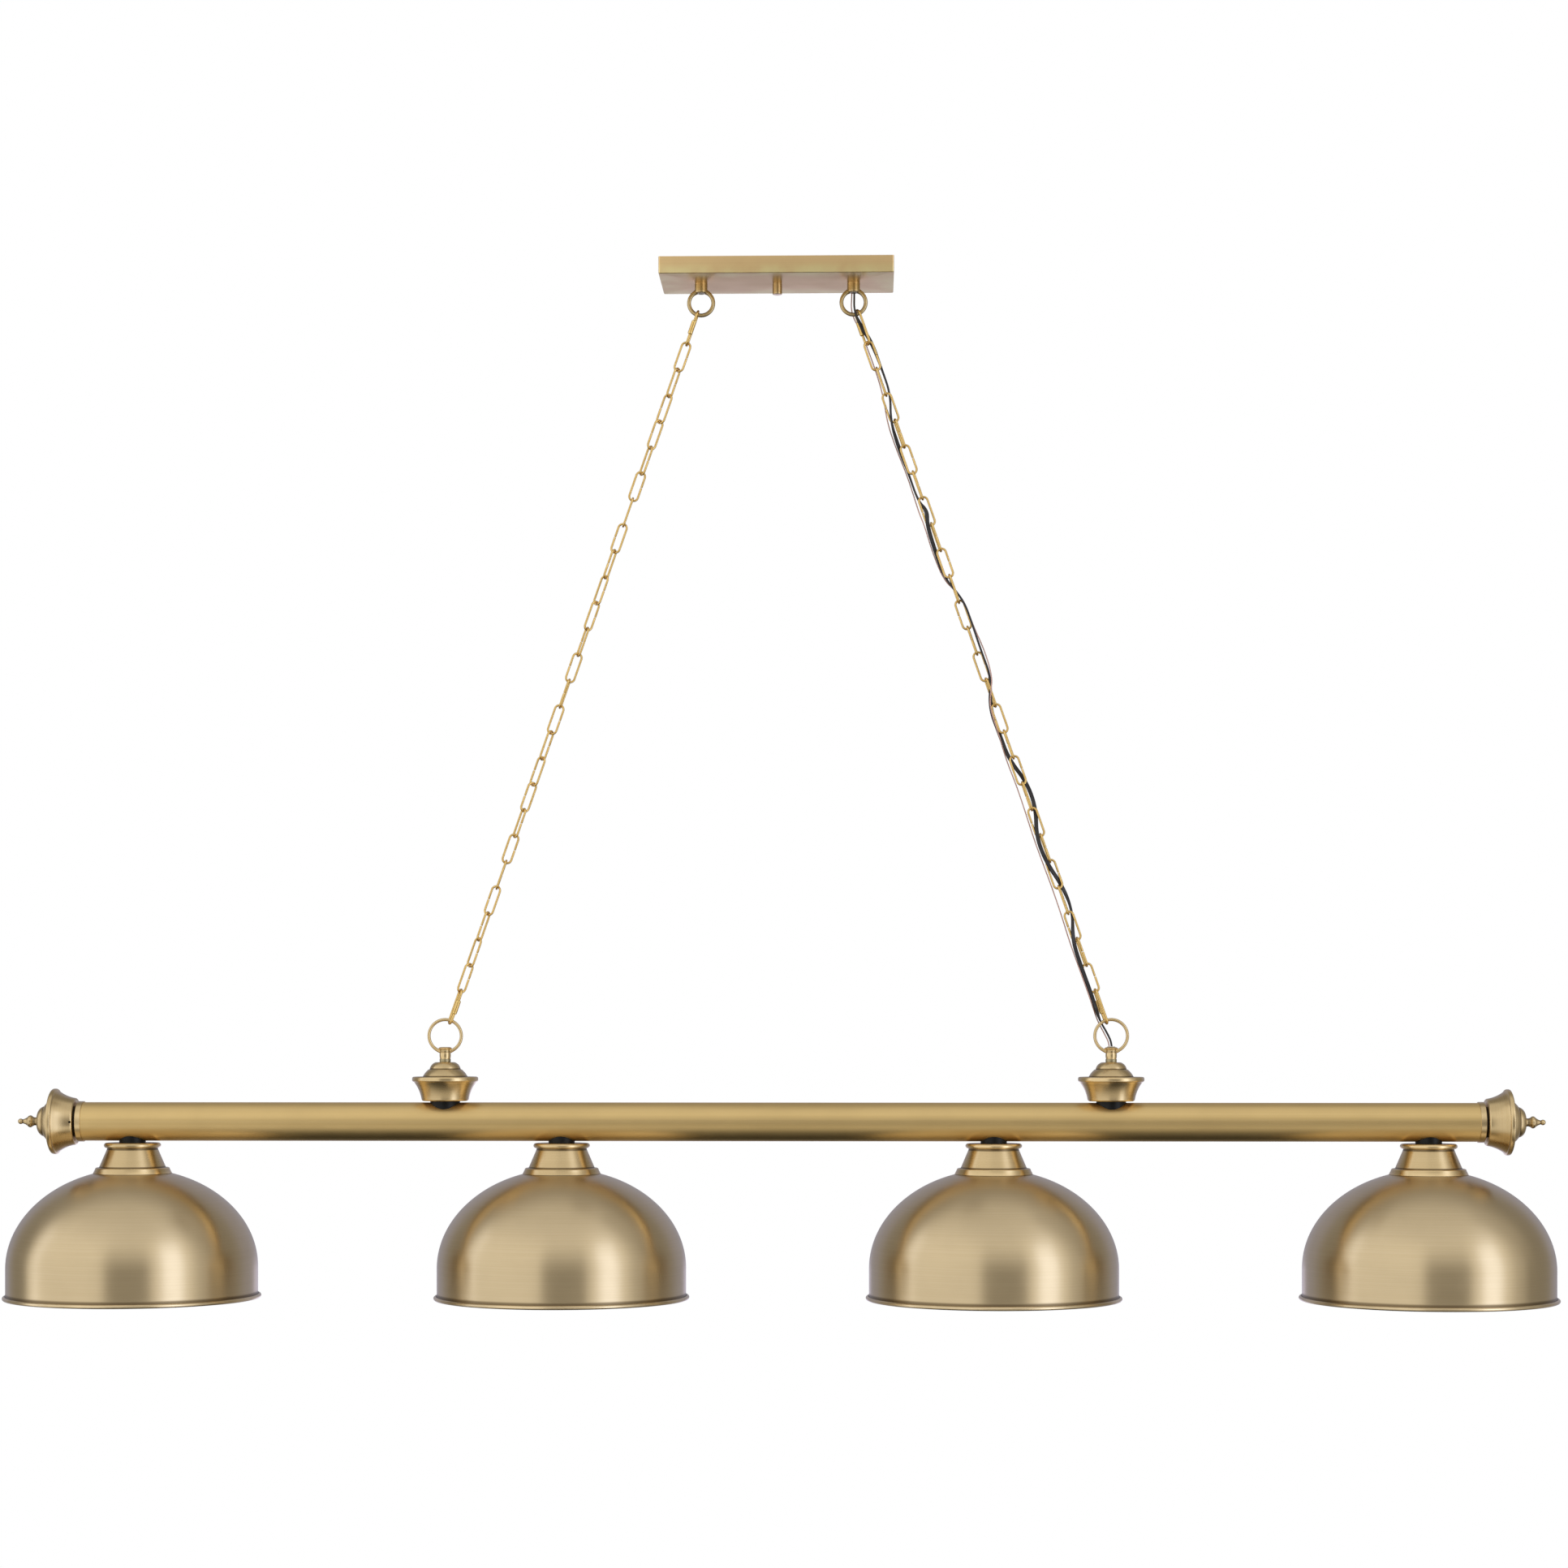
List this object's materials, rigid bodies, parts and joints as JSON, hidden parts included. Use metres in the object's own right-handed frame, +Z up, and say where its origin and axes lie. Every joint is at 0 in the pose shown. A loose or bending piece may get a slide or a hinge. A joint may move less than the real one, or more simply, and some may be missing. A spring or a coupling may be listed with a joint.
{
  "type": "billiard light",
  "caption": "Billiard table light in satin antique brass: a long tube with dome shades hangs from a rectangular ceiling canopy on splayed chains, with the cord woven through one chain.",
  "frame": {"origin": "middle of the canopy's top, on the ceiling plane", "axes": "+X along the bar to the viewer's right, +Y to the back, +Z up; the light hangs towards -Z"},
  "size_m": [2.0363, 0.3354, 1.3554],
  "materials": {
    "antique_brass": "satin brushed",
    "chain_gold": "polished",
    "dark_seat": "matt",
    "zinc_steel": "zinc plated",
    "ground_green": "satin",
    "socket_black": "moulded",
    "shell_brass": "rolled",
    "bush_plastic": "moulded",
    "cord_black": "satin",
    "ground_copper": "clear sleeve"
  },
  "bodies": {
    "canopy": {"canopy_pan": "antique_brass", "mounting_bracket": "zinc_steel", "center_stud": "zinc_steel", "canopy_knob": "antique_brass", "ground_screw": "ground_green", "canopy_nipples": "zinc_steel", "canopy_nuts": "zinc_steel", "canopy_loop_left": "antique_brass", "canopy_loop_right": "antique_brass", "canopy_bushes": "bush_plastic"},
    "top_links": {"top_link_left": "chain_gold", "top_link_right": "chain_gold"},
    "top_nut_left": {"top_sleeve_left": "chain_gold"},
    "top_nut_right": {"top_sleeve_right": "chain_gold"},
    "right_chain": {"right_chain_links": "chain_gold", "power_cord": "cord_black", "ground_wire": "ground_copper"},
    "bar": {"bar_tube": "antique_brass", "hanger_cup_left": "antique_brass", "hanger_cup_right": "antique_brass", "hanger_lid_left": "antique_brass", "hanger_lid_right": "antique_brass", "hanger_loop_left": "antique_brass", "hanger_loop_right": "antique_brass", "end_collars": "antique_brass", "end_cup_left": "antique_brass", "end_cup_right": "antique_brass", "end_lid_left": "antique_brass", "end_lid_right": "antique_brass", "finials": "antique_brass", "fitter_1": "antique_brass", "fitter_2": "antique_brass", "fitter_3": "antique_brass", "fitter_4": "antique_brass", "shade_1": "antique_brass", "shade_2": "antique_brass", "shade_3": "antique_brass", "shade_4": "antique_brass", "bottom_link_left": "chain_gold", "bottom_link_right": "chain_gold", "hanger_saddles": "dark_seat", "end_spacers": "dark_seat", "fitter_saddles": "dark_seat", "hanger_nipples": "zinc_steel", "tube_nuts": "zinc_steel", "end_rods": "zinc_steel", "end_nuts": "zinc_steel", "fitter_nipples": "zinc_steel", "socket_1": "socket_black", "socket_2": "socket_black", "socket_3": "socket_black", "socket_4": "socket_black", "socket_rings": "socket_black", "socket_shells": "shell_brass", "socket_contacts": "shell_brass", "hanger_bush": "bush_plastic", "bar_wiring": "cord_black"},
    "bottom_nut_left": {"bottom_sleeve_left": "chain_gold"},
    "bottom_nut_right": {"bottom_sleeve_right": "chain_gold"},
    "left_chain": {"left_chain_links": "chain_gold"}
  },
  "joints": [
    {"name": "swing", "type": "hinge", "parent": "canopy", "child": "top_links", "pos_m": [0, 0, -0.06285], "axis": [1, 0, 0], "range_deg": [-30, 30], "deforming": ["power_cord", "ground_wire"]},
    {"name": "sway", "type": "hinge", "parent": "top_links", "child": "right_chain", "pos_m": [0.11927, 0, -0.10282], "axis": [0, 1, 0], "range_deg": [-4, 4], "deforming": ["power_cord", "ground_wire"]},
    {"name": "bar_level", "type": "hinge", "parent": "right_chain", "child": "bar", "pos_m": [0.41578, 0, -0.94876], "axis": [0, 1, 0], "range_deg": [-1.2, 1.2], "deforming": ["power_cord", "ground_wire"]},
    {"name": "left_sway", "type": "hinge", "parent": "bar", "child": "left_chain", "pos_m": [-0.41578, 0, -0.94876], "axis": [0, 1, 0], "range_deg": [-1.2, 1.2]},
    {"name": "top_nut_left_run", "type": "slide", "parent": "top_links", "child": "top_nut_left", "axis": [-0.3308, 0, -0.9437], "range_m": [0, 0.008]},
    {"name": "top_nut_right_run", "type": "slide", "parent": "top_links", "child": "top_nut_right", "axis": [0.3308, 0, -0.9437], "range_m": [0, 0.008]},
    {"name": "bottom_nut_left_run", "type": "slide", "parent": "bar", "child": "bottom_nut_left", "axis": [0.3308, 0, 0.9437], "range_m": [0, 0.008]},
    {"name": "bottom_nut_right_run", "type": "slide", "parent": "bar", "child": "bottom_nut_right", "axis": [-0.3308, 0, 0.9437], "range_m": [0, 0.008]}
  ],
  "couplings": [
    {"joint": "bar_level", "follows": "sway", "ratio": -0.28685},
    {"joint": "left_sway", "follows": "sway", "ratio": 0.28685}
  ]
}
